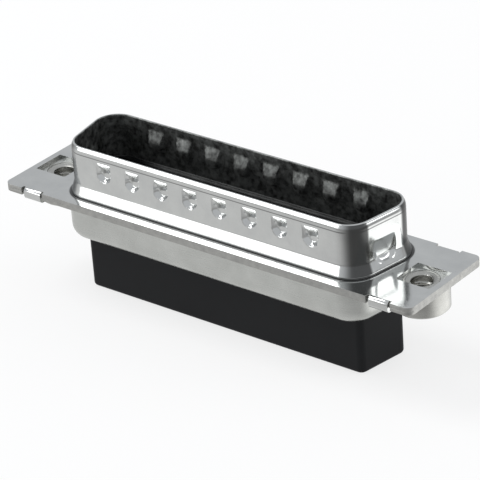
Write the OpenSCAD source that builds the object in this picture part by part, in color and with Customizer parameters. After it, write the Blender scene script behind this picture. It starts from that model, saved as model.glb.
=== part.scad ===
// Crimp-type D-subminiature plug housing, 25-way (shell size 3), supplied without contacts.
// Built with the mating mouth up, standing on the rear face of its insulator.

/* [Contact layout] */
// Contacts in the row on the long side; the other row has one less
long_row = 13; // [3:1:13]
// Distance between contacts in a row
contact_pitch = 2.76; // [2.72:0.01:2.8]
// Distance between the two rows
row_pitch = 2.84; // [2.8:0.01:3]

/* [Mating shell] */
// Inside length of the mouth beyond the end contact of the long row
mouth_end = 2.92; // [2.6:0.01:3.2]
// Inside width of the mouth beyond a row
mouth_side = 2.76; // [2.6:0.01:2.9]
// Inside corner radius of the mouth
mouth_r = 2.2; // [1.6:0.1:2.6]
// Slant of the two ends, in degrees
end_taper = 10; // [8:0.5:11]
// Height of the mouth above the flange
mouth_h = 5.84; // [5.6:0.02:6.4]
// Height of the thinned band at the rim
rim_h = 0.8; // [0.4:0.1:1]
// How far the outside leans in over that band
rim_lean = 0.2; // [0.1:0.02:0.26]

/* [Skirt at the foot of the mouth] */
// Height of the skirt above the flange
skirt_h = 1.35; // [1:0.05:1.6]
// How far the skirt flares out
skirt_out = 0.32; // [0.2:0.02:0.4]
// Radius of the bead round its foot
bead_r = 0.4; // [0.3:0.02:0.45]
// Slope of the skirt above the bead, in degrees from upright
skirt_lean = 30; // [20:1:35]

/* [Flange] */
// Distance from the cup's end to a fixing hole's axis
hole_reach = 2.97; // [2.8:0.01:3.4]
// Distance from a fixing hole's axis to the flange's end
hole_inset = 3; // [2.8:0.05:3.6]
// Width of the flange beyond the cup on each side
flange_side = 0.915; // [0.8:0.005:1.4]
// Radius of the flange's corners
flange_r = 0.8; // [0.3:0.1:1.5]

/* [Sheet metal] */
// Thickness of the front shell's sheet
front_sheet = 0.45; // [0.35:0.01:0.5]
// Thickness of the rear shell's sheet
rear_sheet = 0.4; // [0.3:0.01:0.5]

/* [Grounding dimples] */
// Dimples on each long wall
dimples_per_side = 8; // [2:1:8]
// Distance between dimples
dimple_pitch = 3.86; // [3.4:0.02:3.9]
// Width of a dimple on a long wall
dimple_w = 1.9; // [1.5:0.05:2]
// Distance from the rim down to the upper edge of the long walls' dimples
dimple_drop = 1.04; // [0.95:0.01:1.3]
// Width of the single dimple on each end wall
end_dimple_w = 3; // [2:0.1:3.2]
// Distance from the rim down to the upper edge of the end walls' dimples
end_dimple_drop = 2.44; // [1.4:0.02:2.5]
// Depth of the dimples, measured on the outside
dimple_depth = 0.5; // [0.3:0.05:0.6]
// How far the flanks of a dimple lean in on their way down
dimple_draft = 0.35; // [0.2:0.05:0.4]
// Length of the ramp from a dimple's upper edge to its floor
dimple_ramp = 1.3; // [1:0.05:1.4]

/* [Fold-over tabs] */
// Width of a tab
tab_w = 2.3; // [1.5:0.1:2.6]
// Distance from a tab's centre in to the fixing hole's axis
tab_inset = 0.87; // [0.6:0.01:1]
// Length of the leg that is folded under the rear shell
tab_leg = 1.5; // [0.8:0.1:1.8]
// Gap cut beside a tab so that it can fold
tab_relief = 0.3; // [0.2:0.05:0.4]

/* [Windows round the fixing holes] */
// Length of a window
window_l = 4.05; // [3.8:0.05:4.2]
// Width of a window
window_w = 3.9; // [3.8:0.05:4.2]
// Distance that a window sits outboard of the hole's axis
window_shift = 0.25; // [0:0.01:0.26]

/* [Rear shell] */
// Ledge of the drawn cup round the insulator at its ends
cup_ledge_end = 1.55; // [1.5:0.01:1.8]
// Ledge of the cup along the insulator's sides
cup_ledge_side = 2.16; // [2.0:0.01:2.3]
// Outside corner radius of the cup
cup_r = 3; // [2.6:0.1:3.2]
// Depth of the cup below the flange's front face
cup_depth = 5.1; // [4.7:0.05:5.6]
// Outside radius at the foot of the cup's wall
cup_foot_r = 1.5; // [0.8:0.05:1.5]

/* [Threaded inserts] */
// Gap between an insert and the cup
insert_gap = 0.12; // [0.08:0.01:0.4]
// Depth of an insert below the flange's front face
insert_depth = 3.5; // [2.8:0.05:4.5]
// Diameter of the swaged collar in the rear shell's hole
collar_d = 3.7; // [3.4:0.05:3.75]
// Bore of the thread
thread_bore_d = 2.3; // [2.2:0.02:2.5]
// Diameter of the countersink at the thread's mouth
countersink_d = 3.1; // [2.8:0.05:3.3]
// Bevel round the insert's lower edge
insert_bevel = 0.2; // [0.1:0.05:0.4]

/* [Insulator] */
// Length of the rear body beyond the end contact of the long row
body_end = 2.44; // [2.2:0.01:2.5]
// Width of the rear body beyond a row
body_side = 1.78; // [1.6:0.01:2]
// Corner radius of the rear body
body_r = 0.8; // [0.6:0.1:1.2]
// Rounding along the edge of the rear face
body_edge_r = 0.4; // [0.2:0.05:0.5]
// Distance from the flange's front face to the insulator's rear face
body_reach = 11.6; // [10.5:0.1:12.5]
// Distance from the flange's front face to the joint between the two insulator halves
split_depth = 2.3; // [2:0.05:2.6]
// Diameter of a pin's hole in the front half
pin_hole_d = 1.3; // [1.1:0.05:1.5]
// Diameter of a cavity in the rear half
cavity_d = 1.9; // [1.8:0.05:1.95]
// Diameter of the lead-in at a cavity's rear mouth
lead_in_d = 2.3; // [2.1:0.05:2.4]

/* [Retention clips] */
// Outside diameter of a clip
clip_d = 2.2; // [2.1:0.02:2.24]
// Thickness of the clip's sheet
clip_sheet = 0.14; // [0.1:0.01:0.16]
// Height of a clip
clip_h = 2.4; // [2:0.05:2.6]
// How far a clip's tines lean in at their tips
tine_lean = 0.3; // [0.2:0.02:0.34]
// Angle that a tine takes up, in degrees
tine_angle = 62; // [40:2:70]
// Width of the slit along a clip
clip_slit = 0.35; // [0.2:0.05:0.5]

/* [Clearances] */
// Gap round a piece that drops into a shell
drop_gap = 0.1; // [0.05:0.01:0.15]
// Gap round a piece that is pressed or swaged in place
seat_gap = 0.02; // [0.01:0.01:0.04]

/* [Hidden] */
$fn = 64;

// Overlap between the solids of one piece, and the reach of a cut past a face
bite = 0.02;
past = 1;
lip = 0.2;
corner_steps = 8;
arc_steps = 4;

// Sizes that follow from the contact layout, from the inside out
short_row = long_row - 1;
row_l = short_row * contact_pitch;
body_l = row_l + 2 * body_end;
body_w = row_pitch + 2 * body_side;
mouth_l = row_l + 2 * mouth_end;
mouth_w = row_pitch + 2 * mouth_side;
cup_l = body_l + 2 * cup_ledge_end;
cup_w = body_w + 2 * cup_ledge_side;
hole_x = cup_l / 2 + hole_reach;
insert_d = 2 * (hole_reach - insert_gap);
flange_l = 2 * (hole_x + hole_inset);
flange_w = cup_w + 2 * flange_side;

flange_t = front_sheet + rear_sheet;
skirt_foot = skirt_out + front_sheet;
flange_hole_grow = skirt_foot + lip / 2;
dimple_top = mouth_h - dimple_drop;
end_dimple_top = mouth_h - end_dimple_drop;
tab_x = hole_x - tab_inset;
tab_fold_y = flange_w / 2 - front_sheet;
cup_floor_top = cup_depth - rear_sheet;
cup_foot_inner_r = cup_foot_r - rear_sheet;
cup_brow_r = 0.3;
cup_hole_grow = cup_brow_r + lip / 2;
cup_floor_in = cup_foot_r + lip / 2;
rim_in = rear_sheet + drop_gap;
clip_chamber_d = clip_d + 2 * seat_gap;
clip_top_gap = 0.1;
tine_slot = tine_angle + 8;
tine_foot = 0.5;

cavities = concat(
    [for (i = [0 : long_row - 1]) [(i - (long_row - 1) / 2) * contact_pitch, row_pitch / 2]],
    [for (i = [0 : short_row - 1]) [(i - (short_row - 1) / 2) * contact_pitch, -row_pitch / 2]]
);

// Stands the connector on its rear face
module standing() {
    translate([0, 0, body_reach]) children();
}

// Centres of the corner arcs of a D whose long side is at +Y
function d_far(l, r) = l / 2 - r;
function d_near(l, w, r) = d_far(l, r) - (w - 2 * r) * tan(end_taper);

// Points round a D that is grown by some distance, anticlockwise from its near right corner
function d_path(l, w, r, grow) =
    let (far = d_far(l, r), near = d_near(l, w, r), y = w / 2 - r, corners = [
        [[near, -y], -90, 90 - end_taper],
        [[far, y], -end_taper, 90 + end_taper],
        [[-far, y], 90, 90 + end_taper],
        [[-near, -y], 180 + end_taper, 90 - end_taper]
    ])
    [for (c = corners, i = [0 : corner_steps])
        let (a = c[1] + c[2] * i / corner_steps) c[0] + (r + grow) * [cos(a), sin(a)]];

// Points on an arc about c
function arc(c, r, from, to) =
    [for (i = [0 : arc_steps]) let (a = from + (to - from) * i / arc_steps) c + r * [cos(a), sin(a)]];

// Faces between ring a and ring b of n points each
function band(a, b, n) = [for (i = [0 : n - 1]) [a * n + i, b * n + i, b * n + (i + 1) % n, a * n + (i + 1) % n]];

// Solid D outline
module d_shape(l, w, r) {
    far = d_far(l, r);
    near = d_near(l, w, r);
    y = w / 2 - r;
    side = r * [cos(end_taper), -sin(end_taper)];
    polygon([
        [near, -w / 2], [near + side.x, -y + side.y], [far + side.x, y + side.y], [far, w / 2],
        [-far, w / 2], [-far - side.x, y + side.y], [-near - side.x, -y + side.y], [-near, -w / 2]
    ]);
    for (s = [-1, 1]) {
        translate([s * far, y]) circle(r);
        translate([s * near, -y]) circle(r);
    }
}

// Carries a closed section round a D: each point is [distance out, height], anticlockwise
module d_sweep(l, w, r, section) {
    n = len(d_path(l, w, r, 0));
    m = len(section);
    polyhedron(
        [for (p = section, q = d_path(l, w, r, p.x)) [q.x, q.y, p.y]],
        [for (k = [0 : m - 1]) each band(k, (k + 1) % m, n)]
    );
}

// D block from z = 0 up, with its lower edge rounded
module d_block(l, w, r, h, edge_r) {
    edge = concat(arc([-edge_r, edge_r], edge_r, -90, 0), [[0, h]]);
    n = len(d_path(l, w, r, 0));
    m = len(edge);
    polyhedron(
        [for (p = edge, q = d_path(l, w, r, p.x)) [q.x, q.y, p.y]],
        concat(
            [[for (i = [0 : n - 1]) i]],
            [for (k = [0 : m - 2]) each band(k, k + 1, n)],
            [[for (i = [0 : n - 1]) m * n - 1 - i]]
        )
    );
}

// Flange outline
module flange_shape() {
    x = flange_l / 2 - flange_r;
    y = flange_w / 2 - flange_r;
    square([2 * x, flange_w], center = true);
    square([flange_l, 2 * y], center = true);
    for (sx = [-1, 1], sy = [-1, 1]) translate([sx * x, sy * y]) circle(flange_r);
}

// Places children at the four tabs, with +Y out over the flange's edge
module at_tabs() {
    for (sx = [-1, 1], turn = [0, 180]) rotate(turn) translate([sx * tab_x, 0]) children();
}

// Places children on the outside of the mouth's walls, with +Y into the wall
module at_long_walls() {
    for (i = [0 : dimples_per_side - 1], turn = [0, 180]) rotate(turn)
        translate([(i - (dimples_per_side - 1) / 2) * dimple_pitch, -mouth_w / 2 - front_sheet, 0])
            children();
}

module at_end_walls() {
    mid = (d_far(mouth_l, mouth_r) + d_near(mouth_l, mouth_w, mouth_r)) / 2;
    out = mouth_r + front_sheet;
    for (s = [-1, 1]) translate([s * (mid + out * cos(end_taper)), -out * sin(end_taper), 0])
        rotate(s * (90 - end_taper)) children();
}

// One dimple: a ramp with leaning flanks that runs down into a round bowl.
// Grown by the sheet's thickness, it is the bump that the dimple raises inside.
module dimple(w, top, grow) {
    start = grow > 0 ? grow / 2 : -skirt_out;
    depth = dimple_depth + grow;
    floor_z = top - dimple_ramp;
    ramp_start = top + dimple_ramp / dimple_depth * (grow - start);
    lean = dimple_draft / dimple_depth;
    wide = w / 2 + grow - lean * start;
    narrow = w / 2 + grow - lean * depth;
    intersection() {
        rotate([90, 0, 90]) linear_extrude(2 * wide, center = true)
            polygon([[start, ramp_start], [start, floor_z - bite], [depth, floor_z - bite], [depth, floor_z]]);
        linear_extrude(ramp_start)
            polygon([[-wide, start], [wide, start], [narrow, depth], [-narrow, depth]]);
    }
    translate([0, start, floor_z]) rotate([-90, 0, 0]) cylinder(r1 = wide, r2 = narrow, h = depth - start);
}

module dimples(grow) {
    at_long_walls() dimple(dimple_w, dimple_top, grow);
    at_end_walls() dimple(end_dimple_w, end_dimple_top, grow);
}

// Section of the mouth's wall: a lip of the flange, bead upright at its foot, skirt, wall, thinned rim
mouth_section = concat(
    [[skirt_foot, 0]],
    arc([skirt_foot - bead_r, bead_r], bead_r, 0, skirt_lean),
    [
        [front_sheet, skirt_h], [front_sheet, mouth_h - rim_h],
        [front_sheet - rim_lean, mouth_h], [0, mouth_h], [0, skirt_h]
    ],
    arc([skirt_foot, 0], front_sheet, 180, 270),
    [[skirt_foot + lip, -front_sheet], [skirt_foot + lip, 0]]
);

// Section of a tab: over the flange's edge, down past the rear shell and back under it
module tab_section() {
    leg_y = tab_fold_y - tab_leg;
    low = -flange_t - front_sheet;
    translate([tab_fold_y - bite, -front_sheet]) square([bite, front_sheet]);
    for (bend = [[-front_sheet, -front_sheet], [-flange_t, low]]) intersection() {
        translate([tab_fold_y, bend[0]]) circle(front_sheet);
        translate([tab_fold_y, bend[1]]) square(front_sheet);
    }
    translate([tab_fold_y, -flange_t]) square([front_sheet, rear_sheet]);
    translate([leg_y, low]) square([tab_leg, front_sheet]);
}

module front_shell() {
    color("gainsboro") standing() {
        difference() {
            union() {
                translate([0, 0, -front_sheet]) linear_extrude(front_sheet) difference() {
                    flange_shape();
                    d_shape(mouth_l + 2 * flange_hole_grow, mouth_w + 2 * flange_hole_grow,
                            mouth_r + flange_hole_grow);
                    for (s = [-1, 1]) translate([s * (hole_x + window_shift), 0])
                        square([window_l, window_w], center = true);
                    at_tabs() translate([-tab_w / 2 - tab_relief, tab_fold_y])
                        square([tab_w + 2 * tab_relief, front_sheet + past]);
                }
                d_sweep(mouth_l, mouth_w, mouth_r, mouth_section);
                dimples(front_sheet);
            }
            dimples(0);
        }
        at_tabs() rotate([90, 0, 90]) linear_extrude(tab_w, center = true) tab_section();
    }
}

// Section of the cup: a lip of the flange, brow, wall, rounded foot, a lip of the floor
cup_section = concat(
    [[cup_brow_r + lip, -flange_t], [cup_brow_r + lip, -front_sheet]],
    arc([cup_brow_r, -flange_t - cup_brow_r], cup_brow_r + rear_sheet, 90, 180),
    arc([-cup_foot_r, -cup_depth + cup_foot_r], cup_foot_inner_r, 0, -90),
    [[-cup_foot_r - lip, -cup_depth + rear_sheet], [-cup_foot_r - lip, -cup_depth]],
    arc([-cup_foot_r, -cup_depth + cup_foot_r], cup_foot_r, -90, 0),
    arc([cup_brow_r, -flange_t - cup_brow_r], cup_brow_r, 180, 90)
);

module rear_shell() {
    color("silver") standing() difference() {
        union() {
            translate([0, 0, -flange_t]) linear_extrude(rear_sheet) difference() {
                flange_shape();
                d_shape(cup_l + 2 * cup_hole_grow, cup_w + 2 * cup_hole_grow, cup_r + cup_hole_grow);
                for (s = [-1, 1]) translate([s * hole_x, 0]) circle(collar_d / 2 + seat_gap);
                at_tabs() translate([-tab_w / 2 - tab_relief, tab_fold_y - seat_gap])
                    square([tab_w + 2 * tab_relief, front_sheet + past]);
            }
            d_sweep(cup_l, cup_w, cup_r, cup_section);
            translate([0, 0, -cup_depth]) linear_extrude(rear_sheet)
                d_shape(cup_l - 2 * cup_floor_in, cup_w - 2 * cup_floor_in, cup_r - cup_floor_in);
        }
        translate([0, 0, -cup_depth - past]) linear_extrude(rear_sheet + 2 * past)
            d_shape(body_l + 2 * drop_gap, body_w + 2 * drop_gap, body_r + drop_gap);
    }
}

module front_insulator() {
    color([0.15, 0.16, 0.17]) standing() difference() {
        translate([0, 0, -split_depth]) {
            linear_extrude(split_depth - front_sheet)
                d_shape(cup_l - 2 * rim_in, cup_w - 2 * rim_in, cup_r - rim_in);
            linear_extrude(split_depth)
                d_shape(mouth_l - 2 * drop_gap, mouth_w - 2 * drop_gap, mouth_r - drop_gap);
        }
        for (c = cavities) translate([c.x, c.y, -split_depth - past])
            cylinder(d = pin_hole_d, h = split_depth + 2 * past);
    }
}

module rear_insulator() {
    color([0.13, 0.14, 0.15]) standing() difference() {
        union() {
            translate([0, 0, -cup_floor_top])
                d_block(cup_l - 2 * rim_in, cup_w - 2 * rim_in, cup_r - rim_in,
                        cup_floor_top - split_depth, cup_foot_inner_r);
            translate([0, 0, -body_reach])
                d_block(body_l, body_w, body_r, body_reach - split_depth, body_edge_r);
        }
        for (c = cavities) translate([c.x, c.y, -body_reach]) {
            lead_in = (lead_in_d - cavity_d) / 2;
            chamber_h = clip_h + clip_top_gap;
            translate([0, 0, -past]) cylinder(d = cavity_d, h = body_reach + past);
            cylinder(d1 = lead_in_d, d2 = cavity_d, h = lead_in);
            translate([0, 0, body_reach - split_depth - chamber_h])
                cylinder(d = clip_chamber_d, h = chamber_h + past);
        }
    }
}

module insert(side) {
    r = insert_d / 2;
    color("whitesmoke") standing() translate([side * hole_x, 0, 0]) rotate_extrude() {
        difference() {
            polygon([
                [0, -insert_depth], [r - insert_bevel, -insert_depth], [r, -insert_depth + insert_bevel],
                [r, -flange_t], [collar_d / 2, -flange_t], [collar_d / 2, -front_sheet], [0, -front_sheet]
            ]);
            translate([0, -insert_depth - past]) square([thread_bore_d / 2, insert_depth + past]);
            polygon([
                [0, -front_sheet], [countersink_d / 2, -front_sheet],
                [0, -front_sheet - countersink_d / 2]
            ]);
        }
    }
}

// Rolled clip: a slit tube with two tines that lean in towards the front
module clip(index) {
    r = clip_d / 2;
    place = cavities[index - 1];
    foot = -split_depth - clip_top_gap - clip_h;
    color("goldenrod") standing() if (index <= len(cavities)) translate([place.x, place.y, foot]) {
        difference() {
            cylinder(r = r, h = clip_h);
            translate([0, 0, -past]) cylinder(r = r - clip_sheet, h = clip_h + 2 * past);
            translate([-clip_slit / 2, 0, -past]) cube([clip_slit, r + past, clip_h + 2 * past]);
            for (turn = [0, 180]) rotate(turn - tine_slot / 2) translate([0, 0, tine_foot])
                rotate_extrude(angle = tine_slot) translate([r / 2, 0]) square([r, clip_h]);
        }
        for (turn = [0, 180]) rotate(turn - tine_angle / 2) rotate_extrude(angle = tine_angle)
            polygon([
                [r - clip_sheet, tine_foot - bite], [r, tine_foot - bite], [r, tine_foot],
                [r - tine_lean, clip_h - tine_foot], [r - tine_lean - clip_sheet, clip_h - tine_foot],
                [r - clip_sheet, tine_foot]
            ]);
    }
}

front_shell();
rear_shell();
front_insulator();
rear_insulator();
insert(-1);  // insert_left
insert(1);  // insert_right
clip(1);  // clip_01
clip(2);  // clip_02
clip(3);  // clip_03
clip(4);  // clip_04
clip(5);  // clip_05
clip(6);  // clip_06
clip(7);  // clip_07
clip(8);  // clip_08
clip(9);  // clip_09
clip(10);  // clip_10
clip(11);  // clip_11
clip(12);  // clip_12
clip(13);  // clip_13
clip(14);  // clip_14
clip(15);  // clip_15
clip(16);  // clip_16
clip(17);  // clip_17
clip(18);  // clip_18
clip(19);  // clip_19
clip(20);  // clip_20
clip(21);  // clip_21
clip(22);  // clip_22
clip(23);  // clip_23
clip(24);  // clip_24
clip(25);  // clip_25
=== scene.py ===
import math

import bmesh
import bpy
from mathutils import Matrix, Vector


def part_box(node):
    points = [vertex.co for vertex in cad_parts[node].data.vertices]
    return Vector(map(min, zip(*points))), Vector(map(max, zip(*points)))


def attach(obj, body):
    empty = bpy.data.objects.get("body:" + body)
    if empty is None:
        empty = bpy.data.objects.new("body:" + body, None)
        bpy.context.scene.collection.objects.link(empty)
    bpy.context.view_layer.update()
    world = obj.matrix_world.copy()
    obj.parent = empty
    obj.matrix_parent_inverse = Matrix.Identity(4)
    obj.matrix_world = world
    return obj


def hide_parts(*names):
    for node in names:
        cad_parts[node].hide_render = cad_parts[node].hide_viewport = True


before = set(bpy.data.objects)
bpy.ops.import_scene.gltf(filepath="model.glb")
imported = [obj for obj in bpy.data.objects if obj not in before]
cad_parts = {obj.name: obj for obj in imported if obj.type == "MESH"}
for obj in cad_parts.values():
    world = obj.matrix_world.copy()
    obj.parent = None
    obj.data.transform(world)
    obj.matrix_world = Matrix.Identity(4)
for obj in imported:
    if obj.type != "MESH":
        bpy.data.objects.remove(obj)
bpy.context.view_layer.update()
mm = 0.001  # sizes in the dictionaries are in mm, unless a note says otherwise

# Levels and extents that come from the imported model
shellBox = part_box("front_shell")
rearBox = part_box("rear_shell")
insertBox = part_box("insert_right")
rimTop = shellBox[1][2]
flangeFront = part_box("front_insulator")[1][2]
cupFloor = rearBox[0][2]
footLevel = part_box("rear_insulator")[0][2]
holeX = (insertBox[0][0] + insertBox[1][0]) / 2


# Small helpers

def arcPoints(centre, radius, start, end, steps):
    # points of [distance out, height] along an arc, angles in degrees
    angles = [math.radians(start + (end - start) * i / steps) for i in range(steps + 1)]
    return [(centre[0] + radius * math.cos(a), centre[1] + radius * math.sin(a)) for a in angles]


def linePoints(start, end, pitch):
    # evenly spaced points from start to end, both included
    count = max(1, round(math.dist(start, end) / pitch))
    return [(start[0] + (end[0] - start[0]) * i / count, start[1] + (end[1] - start[1]) * i / count)
            for i in range(count + 1)]


def newVerts(geometry):
    return [g for g in geometry if isinstance(g, bmesh.types.BMVert)]


def newEdges(geometry):
    return [g for g in geometry if isinstance(g, bmesh.types.BMEdge)]


def newFaces(geometry):
    return [g for g in geometry if isinstance(g, bmesh.types.BMFace)]


def finishPiece(bm, name, materials, nodes, sharpAngle=32):
    # closes the mesh, shades it smooth between its sharp edges, hangs it under the root body and hides the
    # nodes it stands for
    bmesh.ops.remove_doubles(bm, verts=bm.verts, dist=0.0005 * mm)
    bmesh.ops.recalc_face_normals(bm, faces=bm.faces)
    for face in bm.faces:
        face.smooth = True
    for edge in bm.edges:
        edge.smooth = len(edge.link_faces) == 2 and edge.calc_face_angle(0) < math.radians(sharpAngle)
    openEdges = sum(len(edge.link_faces) != 2 for edge in bm.edges)
    mesh = bpy.data.meshes.new(name)
    bm.to_mesh(mesh)
    bm.free()
    piece = bpy.data.objects.new(name, mesh)
    bpy.context.scene.collection.objects.link(piece)
    for material in materials:
        mesh.materials.append(material)
    weighted = piece.modifiers.new("evenNormals", "WEIGHTED_NORMAL")
    weighted.keep_sharp = True
    weighted.weight = 80
    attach(piece, "root")
    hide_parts(*nodes)
    print("made", name, "faces", len(mesh.polygons), "open edges", openEdges)


# D outline and what is carried round it

taper = math.radians(10)  # slant of the two ends
arcSteps = 14  # columns round each corner of a D


def runPen(bm, pen, centre, turn, step, steps):
    # draws on from the vertex pen: round centre, or straight by step; returns the new vertices in order
    before = set(bm.verts)
    start = pen.co.copy()
    bmesh.ops.spin(bm, geom=[pen], cent=centre, axis=(0, 0, 1), angle=turn, dvec=step, steps=steps)
    return sorted((v for v in bm.verts if v not in before), key=lambda v: (v.co - start).length)


def cornerPlaces(length, width, corner):
    # x of the corners' centres on the narrow side and on the wide side of a D
    farX = length / 2 - corner
    return farX - (width - 2 * corner) * math.tan(taper), farX


def drawD(bm, length, width, corner, pitch):
    # draws one D outline in plan and notes on each vertex its place and its outward direction
    before = set(bm.edges)
    plan = bm.verts.layers.float_vector.get("plan") or bm.verts.layers.float_vector.new("plan")
    out = bm.verts.layers.float_vector.get("out") or bm.verts.layers.float_vector.new("out")
    nearX, farX = cornerPlaces(length, width, corner)
    y = width / 2 - corner
    right = Vector((math.cos(taper), -math.sin(taper), 0))
    left = Vector((-right.x, right.y, 0))
    back, front = Vector((0, 1, 0)), Vector((0, -1, 0))
    corners = [  # centre of each round, how far it turns, and the outward direction after it
        (Vector((nearX, -y, 0)), math.pi / 2 - taper, right),
        (Vector((farX, y, 0)), math.pi / 2 + taper, back),
        (Vector((-farX, y, 0)), math.pi / 2 + taper, left),
        (Vector((-nearX, -y, 0)), math.pi / 2 - taper, front),
    ]
    pen = first = bm.verts.new(corners[0][0] + front * corner)
    drawn = [first]
    for i, (centre, turn, endOut) in enumerate(corners):
        drawn += runPen(bm, pen, centre, turn, (0, 0, 0), arcSteps)
        for vert in drawn[-arcSteps - 1:]:
            vert[out] = (vert.co - centre).normalized()
        pen = drawn[-1]
        target = corners[(i + 1) % 4][0] + endOut * corner
        steps = max(1, round((target - pen.co).length / pitch))
        drawn += runPen(bm, pen, target, 0, (target - pen.co) / steps, steps)
        pen = drawn[-1]
    for vert in drawn:
        vert[plan] = vert.co
    bmesh.ops.remove_doubles(bm, verts=[first, pen], dist=0.001 * mm)
    return plan, out, [e for e in bm.edges if e not in before]


def carryRound(bm, profile, plan, out, ring, paintedDark=None):
    # extrudes the ring from point to point of a profile; returns its first and last ring
    firstRing = list(ring)
    fresh = {v for e in ring for v in e.verts}
    for i, (grow, height, *paintedShade) in enumerate(profile):
        if i:
            made = bmesh.ops.extrude_edge_only(bm, edges=ring)["geom"]
            fresh = set(newVerts(made))
            ring = [e for e in newEdges(made) if e.verts[0] in fresh and e.verts[1] in fresh]
        for vert in fresh:
            vert.co = vert[plan] + vert[out] * grow
            vert.co.z = height
            # the profile's third value is painted shade, kept in the layer
            if paintedDark:
                vert[paintedDark] = paintedShade[0]
    return firstRing, ring


def drawLoop(bm, points, height):
    # a closed run of edges through a few points in plan
    verts = [bm.verts.new((x, y, height)) for x, y in points]
    return [bm.edges.new((verts[i], verts[(i + 1) % len(verts)])) for i in range(len(verts))]


def drawCircle(bm, centre, radius, height, steps=48):
    circle = bmesh.ops.create_circle(
        bm, cap_ends=False, radius=radius, segments=steps,
        matrix=Matrix.Translation((centre[0], centre[1], height)))["verts"]
    return list({e for v in circle for e in v.link_edges})


def dropEdges(bm, edges, depth):
    # the side walls under a loop; returns the loop at their foot
    made = bmesh.ops.extrude_edge_only(bm, edges=edges)["geom"]
    fresh = set(newVerts(made))
    bmesh.ops.translate(bm, verts=list(fresh), vec=(0, 0, -depth))
    return [e for e in newEdges(made) if e.verts[0] in fresh and e.verts[1] in fresh]


def fillPlate(bm, edges, up):
    # one flat plate between all the loops at a level
    bmesh.ops.triangle_fill(bm, edges=edges, use_beauty=True, use_dissolve=False,
                            normal=(0, 0, 1 if up else -1))


# Materials

def startMaterial(name):
    material = bpy.data.materials.new(name)
    material.use_nodes = True
    nodes = material.node_tree.nodes
    shader = nodes["Principled BSDF"]
    return material, nodes, material.node_tree.links, shader


def addNoise(nodes, links, stretch, scale, detail, roughness=0.55):
    # noise on object coordinates, stretched per axis
    coordinate = nodes.new("ShaderNodeTexCoord")
    mapping = nodes.new("ShaderNodeMapping")
    mapping.inputs["Scale"].default_value = stretch
    noise = nodes.new("ShaderNodeTexNoise")
    noise.inputs["Scale"].default_value = scale
    noise.inputs["Detail"].default_value = detail
    noise.inputs["Roughness"].default_value = roughness
    links.new(coordinate.outputs["Object"], mapping.inputs["Vector"])
    links.new(mapping.outputs["Vector"], noise.inputs["Vector"])
    return noise.outputs["Fac"]


def addRange(nodes, links, source, low, high, fromLow=0.3, fromHigh=0.7, blend="LINEAR"):
    spread = nodes.new("ShaderNodeMapRange")
    spread.interpolation_type = blend
    spread.inputs["From Min"].default_value = fromLow
    spread.inputs["From Max"].default_value = fromHigh
    spread.inputs["To Min"].default_value = low
    spread.inputs["To Max"].default_value = high
    links.new(source, spread.inputs["Value"])
    return spread.outputs["Result"]


def addMath(nodes, links, operation, *terms):
    # each term is a number or another node's output
    result = nodes.new("ShaderNodeMath")
    result.operation = operation
    for i, term in enumerate(terms):
        if isinstance(term, (int, float)):
            result.inputs[i].default_value = term
        else:
            links.new(term, result.inputs[i])
    return result.outputs["Value"]


def addTint(nodes, links, source, dark, light):
    ramp = nodes.new("ShaderNodeValToRGB")
    ramp.color_ramp.elements[0].position = 0.3
    ramp.color_ramp.elements[0].color = (*dark, 1)
    ramp.color_ramp.elements[1].position = 0.7
    ramp.color_ramp.elements[1].color = (*light, 1)
    links.new(source, ramp.inputs["Fac"])
    return ramp.outputs["Color"]


def addBump(nodes, links, heights, normalInput):
    # chains one bump for each [source, distance, strength]
    previous = None
    for source, distance, strength in heights:
        bump = nodes.new("ShaderNodeBump")
        bump.inputs["Distance"].default_value = distance
        bump.inputs["Strength"].default_value = strength
        links.new(source, bump.inputs["Height"])
        if previous:
            links.new(previous, bump.inputs["Normal"])
        previous = bump.outputs["Normal"]
    links.new(previous, normalInput)


def platedMetal(name, dark, light, smooth, dull, streak, waves, paintedShade=0.0, hairline=0.2):
    # bright plate over drawn sheet: faint clouds, hair lines along the draw and a slight waviness,
    # and painted shade: darker and duller where the shade attribute marks the crease, the rim's step and
    # the corners
    material, nodes, links, shader = startMaterial(name)
    clouds = addNoise(nodes, links, (1, 1, 1), 2 * waves, detail=4)
    hairs = addNoise(nodes, links, streak, 1, detail=5, roughness=0.65)
    swell = addNoise(nodes, links, (1, 1, 1), waves, detail=1)
    colour = addTint(nodes, links, clouds, dark, light)
    rough = addRange(nodes, links, hairs, smooth, dull)
    # painted shade: the attribute darkens the plate where shade and dark reflections fall
    if paintedShade:
        paintedDark = nodes.new("ShaderNodeAttribute")
        paintedDark.attribute_name = "paintedShade"
        shade = nodes.new("ShaderNodeMix")
        shade.data_type = "RGBA"
        links.new(paintedDark.outputs["Fac"], shade.inputs["Factor"])
        links.new(colour, shade.inputs[6])
        shade.inputs[7].default_value = (*[c * (1 - paintedShade) for c in dark], 1)
        colour = shade.outputs[2]
        rough = addMath(nodes, links, "MULTIPLY_ADD", paintedDark.outputs["Fac"], 0.12, rough)
    links.new(colour, shader.inputs["Base Color"])
    links.new(rough, shader.inputs["Roughness"])
    shader.inputs["Metallic"].default_value = 1
    addBump(nodes, links, [(swell, 0.03 * mm, 0.6), (hairs, 0.002 * mm, hairline)], shader.inputs["Normal"])
    return material


def mouldedPlastic(name, dark, light, rough, gloss):
    material, nodes, links, shader = startMaterial(name)
    grain = addNoise(nodes, links, (1, 1, 1), 9000, detail=3, roughness=0.6)
    clouds = addNoise(nodes, links, (1, 1, 1), 260, detail=3)
    links.new(addTint(nodes, links, clouds, dark, light), shader.inputs["Base Color"])
    links.new(addRange(nodes, links, clouds, rough - 0.05, rough + 0.06), shader.inputs["Roughness"])
    shader.inputs["Specular IOR Level"].default_value = gloss
    addBump(nodes, links, [(grain, 0.004 * mm, 0.6)], shader.inputs["Normal"])
    return material


# the front plate is painted up to 0.92 darker as shade on the crease, the rim's step and the corners
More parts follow.
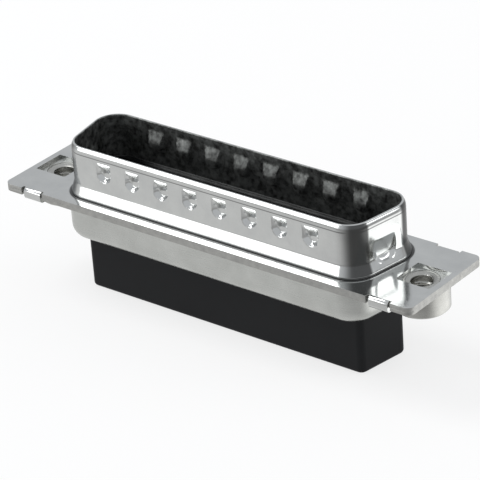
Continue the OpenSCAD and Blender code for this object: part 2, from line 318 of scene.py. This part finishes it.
frontPlate = platedMetal(
    "brightTinPlate", dark=(0.57, 0.58, 0.575), light=(0.64, 0.65, 0.64),
    smooth=0.09, dull=0.17, streak=(3600, 3600, 160), waves=210, paintedShade=0.92)
# the inside of the mouth: the same tin plate, darkened as painted shade
shadedInsidePlate = platedMetal(
    "shadedInsidePlate", dark=(0.035, 0.035, 0.034), light=(0.27, 0.28, 0.27),
    smooth=0.38, dull=0.6, streak=(900, 900, 500), waves=900, hairline=1)
rearPlate = platedMetal(
    "dullTinPlate", dark=(0.50, 0.51, 0.49), light=(0.58, 0.59, 0.57),
    smooth=0.2, dull=0.3, streak=(260, 260, 3600), waves=180)
cutEdge = platedMetal(
    "cutEdge", dark=(0.36, 0.36, 0.35), light=(0.46, 0.46, 0.44),
    smooth=0.4, dull=0.55, streak=(2400, 2400, 900), waves=700)
insertPlate = platedMetal(
    "turnedPlate", dark=(0.40, 0.40, 0.38), light=(0.50, 0.50, 0.475),
    smooth=0.2, dull=0.32, streak=(500, 500, 6500), waves=300)
springBrass = platedMetal(
    "springBrass", dark=(0.60, 0.43, 0.20), light=(0.72, 0.54, 0.28),
    smooth=0.25, dull=0.36, streak=(3000, 3000, 300), waves=300)
glossyMoulding = mouldedPlastic(
    "glossyMoulding", dark=(0.012, 0.013, 0.0145), light=(0.019, 0.020, 0.022), rough=0.38, gloss=0.55)
blackMoulding = mouldedPlastic(
    "blackMoulding", dark=(0.0075, 0.008, 0.009), light=(0.011, 0.0115, 0.0125), rough=0.5, gloss=0.14)
print("materials done")


# Front shell: flange, skirt, mouth, dimples and tabs from one drawn sheet

shell = {
    "length": 38.96, "width": 8.36, "corner": 2.2,  # inside of the mouth
    "sheet": 0.45,
    "beadOut": 0.84, "beadHeight": 0.24, "beadRadius": 0.2,  # rounded foot of the skirt
    "skirtLean": 19,  # slope of the skirt over the bead, in degrees from upright
    "skirtBlend": 0.7,
    "crease": 0.3, "creaseRadius": 0.16,  # hollow between the bead and the flange
    "apron": 0.12,  # flat strip round the crease
    "clear": 1.3,  # from the mouth to where the flange's own edges begin
    "rimBand": 0.8, "rimLean": 0.17, "rimStep": 0.012,
    "lipOut": 0.1, "lipIn": 0.08,  # rounds on the rim's lip
    "flangeCorner": 0.8,
    "windowLength": 4.05, "windowWidth": 3.9, "windowShift": 0.25,
    "tabWidth": 2.3, "tabInset": 0.87, "tabLeg": 1.5, "tabRelief": 0.3,
    "edgeRound": 0.07,
    "cornerShade": 0.9,  # painted dark reflection and shade on the mouth's corners
    "shadeFrom": 0.12, "shadeRise": 0.35, "shadeFall": 0.06,  # shares of the way round a corner
    "shadeLow": 0.25, "shadeTop": 0.05,  # where it ends, above the flange and below the rim
    "pitch": 0.12,  # size of the mesh squares on the walls
}
dimples = {
    "perSide": 8, "pitch": 3.86, "width": 1.9, "top": 4.8, "ramp": 1.3, "depth": 0.5,
    "endWidth": 3.0, "endTop": 3.4, "endDepth": 0.24, "endSoft": 0.16,
    "flank": 0.3,  # how far a flank takes to reach the floor
    "soft": 0.07,  # rounding between its faces
    "inner": 0.12,  # how much further it spreads on the inside of the sheet
    "dent": 0.035, "dentReach": 1.5,  # shallow pull of the sheet round it
    "lowest": 0.9,  # where the pressed walls begin, above the flange
}


def flangePath(notchIn, notchWidth, tabWidth, halfX, halfY, corner, tabX):
    # one quarter of the flange's outline, with its notch, then mirrored into the whole
    quarter = [(0, halfY)]
    left = tabX - notchWidth / 2
    right = tabX + notchWidth / 2
    quarter += [(left, halfY), (left, halfY - notchIn)]
    if tabWidth:
        quarter += [(tabX - tabWidth / 2, halfY - notchIn), (tabX + tabWidth / 2, halfY - notchIn)]
    quarter += [(right, halfY - notchIn), (right, halfY)]
    quarter += arcPoints((halfX - corner, halfY - corner), corner, 90, 0, 10)
    lower = [(x, -y) for x, y in reversed(quarter)]
    half = quarter + lower
    return half + [(-x, y) for x, y in reversed(half[1:-1])]


def softMin(a, b, soft):
    # the smaller of two depths, rounded where they meet
    h = max(soft - abs(a - b), 0) / soft
    return min(a, b) - h * h * soft / 4


def dimpleDepth(along, height, width, top, grown, full, soft):
    # depth of a dimple at a place on its wall, all in mm
    half = width / 2 + grown
    middle = top - dimples["ramp"]
    inside = half - (abs(along) if height > middle else math.hypot(along, height - middle))
    flank = inside / dimples["flank"] * full
    ramp = (top + grown - height) / dimples["ramp"] * full
    depth = softMin(softMin(flank, ramp, soft), full, soft)
    away = math.hypot(along, height - middle) / (dimples["dentReach"] * half)
    pull = dimples["dent"] * (1 - away * away) ** 2 if away < 1 else 0
    return max(depth, 0) + pull


def dimplePlaces():
    # middle of the wall, outward direction, width, top, depth and rounding of every dimple
    places = []
    wallY = shell["width"] * mm / 2
    for side in (-1, 1):
        for i in range(dimples["perSide"]):
            x = (i - (dimples["perSide"] - 1) / 2) * dimples["pitch"] * mm
            places.append((Vector((x, side * wallY, 0)), Vector((0, side, 0)),
                           dimples["width"], dimples["top"], dimples["depth"], dimples["soft"]))
    corner = shell["corner"] * mm
    nearX, farX = cornerPlaces(shell["length"] * mm, shell["width"] * mm, corner)
    for side in (-1, 1):
        wallOut = Vector((side * math.cos(taper), -math.sin(taper), 0))
        middle = Vector((side * (farX + nearX) / 2, 0, 0)) + wallOut * corner
        places.append((middle, wallOut, dimples["endWidth"], dimples["endTop"],
                       dimples["endDepth"], dimples["endSoft"]))
    return places


def pressDimples(bm, plan, out):
    # moves the walls' vertices in where a dimple is
    low = flangeFront + dimples["lowest"] * mm
    high = rimTop - shell["lipOut"] * mm
    walls = [v for v in bm.verts if low < v.co.z < high]
    for middle, wallOut, width, top, full, soft in dimplePlaces():
        sideways = wallOut.cross(Vector((0, 0, 1)))
        for vert in walls:
            if vert[out].dot(wallOut) < 0.9999:
                continue
            along = (vert[plan] - middle).dot(sideways) / mm
            if abs(along) > width * 1.2:
                continue
            inside = (vert.co - vert[plan]).dot(wallOut) < shell["sheet"] * mm / 3
            grown = dimples["inner"] if inside else 0
            height = (vert.co.z - flangeFront) / mm
            vert.co -= wallOut * dimpleDepth(along, height, width, top, grown, full, soft) * mm


def footProfile():
    # outside of the mouth's foot as [out, up, painted shade]: the crease painted dark as shade, then the
    # bead
    foot = shell["beadOut"] + shell["crease"]
    hollow = shell["creaseRadius"]
    points = [(foot + shell["apron"], 0, 0), (foot, 0, 0.25)]
    points += [(x, z, 0.95) for x, z in arcPoints((foot - 0.04, hollow), hollow, 270, 220, 4)]
    points += [(shell["beadOut"] - 0.03, 0.05, 1)]
    beadX = shell["beadOut"] - shell["beadRadius"]
    bead = arcPoints((beadX, shell["beadHeight"]), shell["beadRadius"], -48, shell["skirtLean"], 7)
    # the painted shade fades over the bead's first three points
    return points + [(x, z, max(0, 0.7 - 0.25 * i)) for i, (x, z) in enumerate(bead)]


def wallProfile(start, end):
    # outside of the skirt from start, its blend into the wall, and the wall up to the height end
    sheet = shell["sheet"]
    blend = shell["skirtBlend"]
    lean = math.radians(shell["skirtLean"])
    blendX = sheet + blend * (1 - math.cos(lean))
    blendZ = start[1] + (start[0] - blendX) / math.tan(lean)
    wallFoot = blendZ + blend * math.sin(lean)
    points = linePoints(start, (blendX, blendZ), shell["pitch"])[1:]
    points += arcPoints((sheet + blend, wallFoot), blend, 180 + shell["skirtLean"], 180, 6)[1:]
    return points + linePoints((sheet, wallFoot), (sheet, end), shell["pitch"])[1:]


def rimProfile(low, top):
    # the thinned band of the rim from low, its lip at top
    across = shell["sheet"] - shell["rimStep"]
    lean = shell["rimLean"] - shell["rimStep"]
    rise = shell["rimBand"] - 0.14
    points = [(across - lean * (i / 7) ** 2.8, low + rise * (i / 7)) for i in range(1, 8)]
    lipOut, lipIn = shell["lipOut"], shell["lipIn"]
    points += arcPoints((shell["sheet"] - shell["rimLean"] - lipOut, top - lipOut), lipOut, 25, 90, 4)
    return points + arcPoints((lipIn, top - lipIn), lipIn, 90, 180, 4)


def insideProfile(top):
    # down the inside of the mouth and out under the flange
    sheet = shell["sheet"]
    points = linePoints((0, top - 0.14), (0, 1.2), shell["pitch"])
    points += [(0.04, 0.95), (0.14, 0.7), (shell["beadOut"] - sheet - 0.06, 0.42)]
    points += arcPoints((shell["beadOut"], 0), sheet, 180, 270, 6)
    return points + [(shell["beadOut"] + shell["crease"] + shell["apron"], -sheet)]


def mouthProfile():
    # the sheet's whole section as [out, up, painted shade], with a faint line of painted shade under the
    # rim's band
    sheet, step = shell["sheet"], shell["rimStep"]
    top = (rimTop - flangeFront) / mm
    band = top - shell["rimBand"]
    points = footProfile()
    points += [(x, z, 0) for x, z in wallProfile(points[-1][:2], band - 0.06)]
    # painted shade line under the rim's band
    points += [(sheet - step / 3, band - 0.02, 0.6), (sheet - step, band + 0.03, 0.6)]
    points += [(x, z, 0) for x, z in rimProfile(band + 0.03, top) + insideProfile(top)]
    return [(x * mm, flangeFront + z * mm, paintedDark) for x, z, paintedDark in points]


def foldTab(bm, tabX, side, edgeY):
    # folds one tab from its root face: over the edge, down past the rear sheet and back under it
    bend = flangeFront - shell["sheet"] * mm
    grip = cup["sheet"] * mm
    root = [f for f in bm.faces
            if abs(f.calc_center_median().x - tabX) < 0.02 * mm
            and abs(f.calc_center_median().y - side * edgeY) < 0.02 * mm
            and abs(f.normal.z) < 0.1]
    for level, drop in ((bend, grip), (bend - grip, 0)):
        spun = bmesh.ops.spin(bm, geom=root, cent=(tabX, side * edgeY, level), axis=(1, 0, 0),
                              angle=-side * math.pi / 2, steps=6)
        dropFaces(bm, root)
        root = newFaces(spun["geom_last"])
        if drop:
            root = pullFaces(bm, root, (0, 0, -drop))
    pullFaces(bm, root, (0, -side * shell["tabLeg"] * mm, 0))
    half = shell["tabWidth"] * mm / 2
    for face in bm.faces:  # the blanked sides of the bend over the edge
        across = [v.co.x - tabX for v in face.verts]
        centre = face.calc_center_median()
        flat = max(across) - min(across) < 0.01 * mm and abs(abs(across[0]) - half) < 0.01 * mm
        if flat and centre.z > bend and side * centre.y > edgeY:
            face.material_index = 2


def pullFaces(bm, faces, move):
    made = bmesh.ops.extrude_face_region(bm, geom=faces)["geom"]
    dropFaces(bm, faces)
    bmesh.ops.translate(bm, verts=newVerts(made), vec=move)
    return newFaces(made)


def dropFaces(bm, faces):
    # the faces that a pull started from would stay inside the tab
    bmesh.ops.delete(bm, geom=[f for f in faces if f.is_valid], context="FACES_ONLY")


def roundFlange(bm, sizes):
    # rounds the sharp edges of a flange, those that lie clear of the form drawn in its middle
    reach = (sizes["length"] / 2 + sizes["clear"]) * mm
    wide = (sizes["width"] / 2 + sizes["clear"]) * mm
    edges = [e for e in bm.edges
             if len(e.link_faces) == 2 and e.is_convex
             and e.calc_face_angle(0) > math.radians(50)
             and all(abs(v.co.y) > wide or abs(v.co.x) > reach for v in e.verts)]
    bmesh.ops.bevel(bm, geom=edges, offset=sizes["edgeRound"] * mm, segments=2, profile=0.5,
                    affect="EDGES", material=-1, clamp_overlap=True)


def shadeCorners(bm, plan, out, paintedDark, inner):
    # painted dark reflection and shade on the mouth's corners, darker and duller plate, most next to the
    # end walls
    low = flangeFront + shell["shadeLow"] * mm
    high = rimTop - shell["shadeTop"] * mm
    for vert in bm.verts:
        if vert in inner or not low < vert.co.z < high:
            continue
        around = math.atan2(abs(vert[out].x), abs(vert[out].y))
        span = math.pi / 2 - taper if vert[out].y < 0 else math.pi / 2 + taper
        share = min(1, around / span)
        rise = min(1, max(0, (share - shell["shadeFrom"]) / shell["shadeRise"]))
        fall = min(1, max(0, (0.999 - share) / shell["shadeFall"]))
        vert[paintedDark] = max(vert[paintedDark], shell["cornerShade"] * rise * rise * (3 - 2 * rise) * fall)


def paintCutEdges(faces, halfX, halfY, tabX):
    # the blanked outer edge of the flange shows bare metal, but not the folded tabs
    sheet = shell["sheet"] * mm
    for face in faces:
        centre = face.calc_center_median()
        outer = abs(centre.y) > halfY - sheet - 0.02 * mm or abs(centre.x) > halfX - 1 * mm
        if outer and abs(abs(centre.x) - tabX) > 0.02 * mm:
            face.material_index = 2


def makeFrontShell():
    bm = bmesh.new()
    # layer of painted shade for the crease, the rim's step and the corners
    paintedDark = bm.verts.layers.float.new("paintedShade")
    plan, out, ring = drawD(
        bm, shell["length"] * mm, shell["width"] * mm, shell["corner"] * mm, shell["pitch"] * mm)
    topRing, underRing = carryRound(bm, mouthProfile(), plan, out, ring, paintedDark)
    sheet = shell["sheet"] * mm
    inner = {v for v in bm.verts if (v.co - v[plan]).dot(v[out]) < sheet / 5}
    # the inside of the mouth takes the plate darkened as painted shade
    for face in bm.faces:
        if all(v in inner for v in face.verts):
            face.material_index = 1
    shadeCorners(bm, plan, out, paintedDark, inner)
    pressDimples(bm, plan, out)
    halfX, halfY = shellBox[1][0], shellBox[1][1]
    tabX = holeX - shell["tabInset"] * mm
    tabWidth = shell["tabWidth"] * mm
    notch = tabWidth + 2 * shell["tabRelief"] * mm
    outline = drawLoop(bm, flangePath(
        sheet, notch, tabWidth, halfX, halfY, shell["flangeCorner"] * mm, tabX), flangeFront)
    a, b = shell["windowLength"] * mm / 2, shell["windowWidth"] * mm / 2
    for side in (-1, 1):
        x = side * (holeX + shell["windowShift"] * mm)
        outline += drawLoop(bm, [(x - a, -b), (x + a, -b), (x + a, b), (x - a, b)], flangeFront)
    foot = dropEdges(bm, outline, sheet)
    paintCutEdges({f for e in foot for f in e.link_faces}, halfX, halfY, tabX)
    fillPlate(bm, outline + topRing, up=True)
    fillPlate(bm, foot + underRing, up=False)
    bmesh.ops.recalc_face_normals(bm, faces=bm.faces)
    for sideX in (-1, 1):
        for side in (-1, 1):
            foldTab(bm, sideX * tabX, side, halfY - sheet)
    bmesh.ops.remove_doubles(bm, verts=bm.verts, dist=0.001 * mm)
    bmesh.ops.recalc_face_normals(bm, faces=bm.faces)
    roundFlange(bm, shell)
    finishPiece(bm, "frontShell", [frontPlate, shadedInsidePlate, cutEdge], ["front_shell"])


# Rear shell: flange and drawn cup

cup = {
    "length": 41.1, "width": 10.72, "corner": 3.0,  # outside of the cup
    "sheet": 0.4,
    "brow": 0.3, "browFlat": 0.4,  # bend under the flange, and the flat strip round it
    "footRadius": 1.5, "footFlat": 0.15,
    "collarHole": 1.87, "notchGap": 0.02,
    "edgeRound": 0.07,
    "clear": 0.5,  # from the cup to where the flange's own edges begin
    "bodyLength": 38.2, "bodyWidth": 6.6, "bodyCorner": 0.9,  # opening that the black body comes out of
    "pitch": 0.6, "wallPitch": 0.5,  # size of the mesh faces round the cup and down its wall
}


def cupProfile():
    # section of the cup as [out, up]: its outside down to the floor, and its inside back up
    sheet, pitch = cup["sheet"], cup["wallPitch"]
    top = -shell["sheet"]
    under = top - sheet
    floor = (cupFloor - flangeFront) / mm
    brow, foot = cup["brow"], cup["footRadius"]
    wallTop, wallFoot = under - brow - 0.1, floor + foot + 0.1
    outside = [(brow + cup["browFlat"], under)]
    outside += arcPoints((brow, under - brow), brow, 90, 180, 5)
    outside += linePoints((0, wallTop), (0, wallFoot), pitch)
    outside += arcPoints((-foot, floor + foot), foot, 0, -90, 12)
    outside += [(-foot - cup["footFlat"], floor)]
    inside = [(-foot - cup["footFlat"], floor + sheet)]
    inside += arcPoints((-foot, floor + foot), foot - sheet, -90, 0, 8)
    inside += linePoints((-sheet, wallFoot), (-sheet, wallTop), pitch)
    inside += arcPoints((brow, under - brow), brow + sheet, 180, 90, 6)
    inside += [(brow + cup["browFlat"], top)]
    return [[(x * mm, flangeFront + z * mm) for x, z in part] for part in (outside, inside)]


def makeRearShell():
    bm = bmesh.new()
    outside, inside = cupProfile()
    opening = [(0, cupFloor), (0, cupFloor + cup["sheet"] * mm)]
    cupSizes = [cup[k] * mm for k in ("length", "width", "corner", "pitch")]
    bodySizes = [cup[k] * mm for k in ("bodyLength", "bodyWidth", "bodyCorner", "pitch")]
    underRing, floorRing = carryRound(bm, outside, *drawD(bm, *cupSizes))
    insideRing, topRing = carryRound(bm, inside, *drawD(bm, *cupSizes))
    openingRing, openingTop = carryRound(bm, opening, *drawD(bm, *bodySizes))
    fillPlate(bm, floorRing + openingRing, up=False)
    fillPlate(bm, insideRing + openingTop, up=True)
    notchIn = (shell["sheet"] + cup["notchGap"]) * mm
    notch = (shell["tabWidth"] + 2 * shell["tabRelief"]) * mm
    top = flangeFront - shell["sheet"] * mm
    outline = drawLoop(bm, flangePath(
        notchIn, notch, 0, rearBox[1][0], rearBox[1][1], shell["flangeCorner"] * mm,
        holeX - shell["tabInset"] * mm), top)
    for side in (-1, 1):
        outline += drawCircle(bm, (side * holeX, 0), cup["collarHole"] * mm, top)
    foot = dropEdges(bm, outline, cup["sheet"] * mm)
    for face in {f for e in foot for f in e.link_faces}:
        face.material_index = 1
    fillPlate(bm, outline + topRing, up=True)
    fillPlate(bm, foot + underRing, up=False)
    bmesh.ops.recalc_face_normals(bm, faces=bm.faces)
    roundFlange(bm, cup)
    finishPiece(bm, "rearShell", [rearPlate, cutEdge], ["rear_shell"])


makeFrontShell()
makeRearShell()


# Insulators: merged copies of the moulded bodies, shaded smooth round corners and cavities

def dressMoulding(node, name, material):
    bm = bmesh.new()
    bm.from_mesh(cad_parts[node].data)
    bmesh.ops.remove_doubles(bm, verts=bm.verts, dist=0.001 * mm)
    bmesh.ops.dissolve_limit(
        bm, angle_limit=math.radians(0.5), verts=bm.verts, edges=bm.edges, delimit={"NORMAL"})
    finishPiece(bm, name, [material], [node], sharpAngle=28)


dressMoulding("front_insulator", "frontInsulator", glossyMoulding)
dressMoulding("rear_insulator", "rearInsulator", blackMoulding)


# Threaded inserts: a turned bush with a collar, and the thread in its bore

insert = {
    "collar": 3.7, "bevel": 0.2, "edgeRound": 0.06,
    "mouth": 3.1, "dish": 0.18, "lip": 0.08,  # dished lead-in, and the flat lip round it
    "throat": 0.25, "throatRound": 0.05,  # smooth bore between the dish and the thread
    "major": 2.84, "minor": 2.3, "threadPitch": 0.635,
    "threadTop": 0.55, "threadFoot": 0.3,  # plain lengths left above and below the thread
    "crestShare": 0.08, "ridgeShare": 0.42,  # half widths of the ridge, as shares of the pitch
    "sunk": 0.03,  # how deep the ridge sits in the bore's wall
    "steps": 64,
}


def makeInsert(name, node):
    low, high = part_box(node)
    x, y = (low[0] + high[0]) / 2, (low[1] + high[1]) / 2
    foot, top = low[2], high[2]
    radius = (high[0] - low[0]) / 2
    collar, bore, throat, mouth = (insert[k] * mm / 2 for k in ("collar", "major", "minor", "mouth"))
    bevel, soft, lip = (insert[k] * mm for k in ("bevel", "edgeRound", "lip"))
    shoulder = flangeFront - shell["sheet"] * mm - cup["sheet"] * mm
    dish = top - insert["dish"] * mm
    throatEnd = dish - insert["throat"] * mm
    section = [(bore, throatEnd - insert["throatRound"] * mm), (throat, throatEnd), (throat, dish)]
    section += [(mouth, top), (mouth + lip, top)]
    section += arcPoints((collar - soft, top - soft), soft, 90, 0, 3)
    section += [(collar, shoulder), (radius - soft, shoulder)]
    section += arcPoints((radius - soft, shoulder - soft), soft, 90, 0, 3)[1:]
    section += [(radius, foot + bevel), (radius - bevel, foot), (bore + bevel, foot), (bore, foot + bevel)]
    bm = bmesh.new()
    corners = [bm.verts.new((x + r, y, z)) for r, z in section]
    edges = [bm.edges.new((corners[i - 1], corners[i])) for i in range(len(corners))]
    bmesh.ops.spin(bm, geom=corners + edges, cent=(x, y, 0), axis=(0, 0, 1), angle=2 * math.pi,
                   steps=insert["steps"], use_merge=True)
    addThread(bm, x, y, foot + bevel + insert["threadFoot"] * mm, dish - insert["threadTop"] * mm)
    finishPiece(bm, name, [insertPlate], [node], sharpAngle=26)


def addThread(bm, x, y, start, end):
    # one ridge of the inner thread, wound up the bore
    pitch = insert["threadPitch"] * mm
    crest = insert["minor"] * mm / 2
    root = (insert["major"] / 2 + insert["sunk"]) * mm
    flat, half = pitch * insert["crestShare"], pitch * insert["ridgeShare"]
    ridge = [(root, start - half), (crest, start - flat), (crest, start + flat), (root, start + half)]
    face = bm.faces.new([bm.verts.new((x + r, y, z)) for r, z in ridge])
    turns = (end - start - half) / pitch
    steps = round(turns * insert["steps"] / 2)
    bmesh.ops.spin(bm, geom=[face], cent=(x, y, 0), axis=(0, 0, 1), dvec=(0, 0, turns * pitch / steps),
                   angle=2 * math.pi * turns, steps=steps, use_duplicate=False)


makeInsert("insertLeft", "insert_left")
makeInsert("insertRight", "insert_right")

for name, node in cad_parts.items():
    if name.startswith("clip_"):
        node.data.materials[0] = springBrass
print("clips dressed")


# Stage: floor, light and camera

stage = {
    "floorSize": 3.0, "floorColour": 0.9,  # size in metres
    "shadow": 0.25,  # share of the lit floor that stays in its white
    "leftGlow": 0.78, "frontGlow": 0.42, "glowFade": (20, 60),  # painted reflection: the floor's glow seen only in the metal
    "rightGlow": 0.9, "glowPlace": (46, 14), "glowReach": 28,  # a painted bright reflection patch on the right
    "worldStrength": 0.68,
    "lamps": {  # places and sizes in metres
        "topPanel": {"place": (-0.44, -0.1, 0.6), "size": (0.3, 0.5), "power": 2.4},
        "leftPanel": {"place": (-0.46, -0.65, 0.2), "size": (0.58, 0.4), "power": 1.3},
        "rightPanel": {"place": (0.62, 0.34, 0.3), "size": (0.4, 0.3), "power": 1.0},
    },
}


def addMix(nodes, links, share, first, second):
    mix = nodes.new("ShaderNodeMixShader")
    links.new(share, mix.inputs["Fac"])
    links.new(first, mix.inputs[1])
    links.new(second, mix.inputs[2])
    return mix.outputs["Shader"]


def paintedFloorReflection(nodes, links):
    # painted reflection: how bright the floor glows in the metal, fading towards the front, with a bright
    # patch on the right
    coordinate = nodes.new("ShaderNodeTexCoord")
    split = nodes.new("ShaderNodeSeparateXYZ")
    links.new(coordinate.outputs["Object"], split.inputs["Vector"])
    across = addMath(nodes, links, "SUBTRACT", split.outputs["X"], split.outputs["Y"])
    near, far = stage["glowFade"]
    fade = addRange(nodes, links, across, stage["leftGlow"], stage["frontGlow"], near * mm, far * mm)
    away = nodes.new("ShaderNodeVectorMath")
    away.operation = "DISTANCE"
    away.inputs[1].default_value = (stage["glowPlace"][0] * mm, stage["glowPlace"][1] * mm, footLevel)
    links.new(coordinate.outputs["Object"], away.inputs[0])
    reach = stage["glowReach"] * mm
    patch = addRange(nodes, links, away.outputs["Value"], stage["rightGlow"], 0,
                     0.4 * reach, reach, blend="SMOOTHSTEP")
    return addMath(nodes, links, "ADD", fade, patch)


def whitePaper():
    # even white behind the object, with its shadow, and a painted reflection pattern that only the metal
    # sees
    material, nodes, links, shader = startMaterial("whitePaper")
    shader.inputs["Base Color"].default_value = (*[stage["floorColour"]] * 3, 1)
    shader.inputs["Roughness"].default_value = 0.8
    shader.inputs["Specular IOR Level"].default_value = 0.1
    path = nodes.new("ShaderNodeLightPath").outputs
    white = nodes.new("ShaderNodeEmission")
    share = addMath(nodes, links, "MULTIPLY", path["Is Camera Ray"], 1 - stage["shadow"])
    seen = addMix(nodes, links, share, shader.outputs["BSDF"], white.outputs["Emission"])
    # glossy rays see the floor as a painted reflection pattern
    paintedReflection = nodes.new("ShaderNodeEmission")
    links.new(paintedFloorReflection(nodes, links), paintedReflection.inputs["Strength"])
    both = addMath(nodes, links, "MAXIMUM", path["Is Glossy Ray"], path["Is Transmission Ray"])
    whole = addMix(nodes, links, both, seen, paintedReflection.outputs["Emission"])
    links.new(whole, nodes["Material Output"].inputs["Surface"])
    return material


def makeFloor():
    bm = bmesh.new()
    bmesh.ops.create_grid(bm, x_segments=1, y_segments=1, size=stage["floorSize"] / 2)
    bmesh.ops.translate(bm, verts=bm.verts, vec=(0, 0, footLevel))
    mesh = bpy.data.meshes.new("floor")
    bm.to_mesh(mesh)
    bm.free()
    mesh.materials.append(whitePaper())
    floor = bpy.data.objects.new("floor", mesh)
    bpy.context.scene.collection.objects.link(floor)


def addLamp(name, place, size, power):
    # a lamp panel that faces the middle of the flange
    light = bpy.data.lights.new(name, "AREA")
    light.shape = "RECTANGLE"
    light.size, light.size_y = size
    light.energy = power
    lamp = bpy.data.objects.new(name, light)
    lamp.location = place
    towards = Vector((0, 0, flangeFront)) - Vector(place)
    lamp.rotation_euler = towards.to_track_quat("-Z", "Y").to_euler()
    bpy.context.scene.collection.objects.link(lamp)


def makeWorld():
    # plain studio light, white behind the object
    world = bpy.data.worlds.new("studio")
    world.use_nodes = True
    nodes, links = world.node_tree.nodes, world.node_tree.links
    background = nodes["Background"]
    background.inputs["Color"].default_value = (0.95, 0.97, 1.0, 1)
    path = nodes.new("ShaderNodeLightPath")
    strength = addRange(nodes, links, path.outputs["Is Camera Ray"], stage["worldStrength"], 1, 0, 1)
    links.new(strength, background.inputs["Strength"])
    bpy.context.scene.world = world


makeFloor()
makeWorld()
for name, lamp in stage["lamps"].items():
    addLamp(name, **lamp)

view = {
    "azimuth": 40.076, "elevation": 27.862, "roll": -4.233,  # degrees
    "distance": 269.77, "lens": 207.285,
    "aim": (10.104, -11.371, 5.436),  # from the middle of the flange's front face
}


def makeCamera():
    azimuth, elevation, roll = (math.radians(view[k]) for k in ("azimuth", "elevation", "roll"))
    level = math.cos(elevation)
    back = Vector((math.sin(azimuth) * level, -math.cos(azimuth) * level, math.sin(elevation)))
    right = Vector((math.cos(azimuth), math.sin(azimuth), 0))
    up = back.cross(right)
    turned = right * math.cos(roll) + up * math.sin(roll)
    upright = -right * math.sin(roll) + up * math.cos(roll)
    aim = Vector(view["aim"]) * mm + Vector((0, 0, flangeFront))
    data = bpy.data.cameras.new("camera")
    data.sensor_width = 36
    data.lens = view["lens"]
    camera = bpy.data.objects.new("camera", data)
    place = aim + back * view["distance"] * mm
    camera.matrix_world = Matrix.Translation(place) @ Matrix((turned, upright, back)).transposed().to_4x4()
    bpy.context.scene.collection.objects.link(camera)
    bpy.context.scene.camera = camera


makeCamera()
bpy.context.scene.view_settings.view_transform = "Standard"
print("stage done")
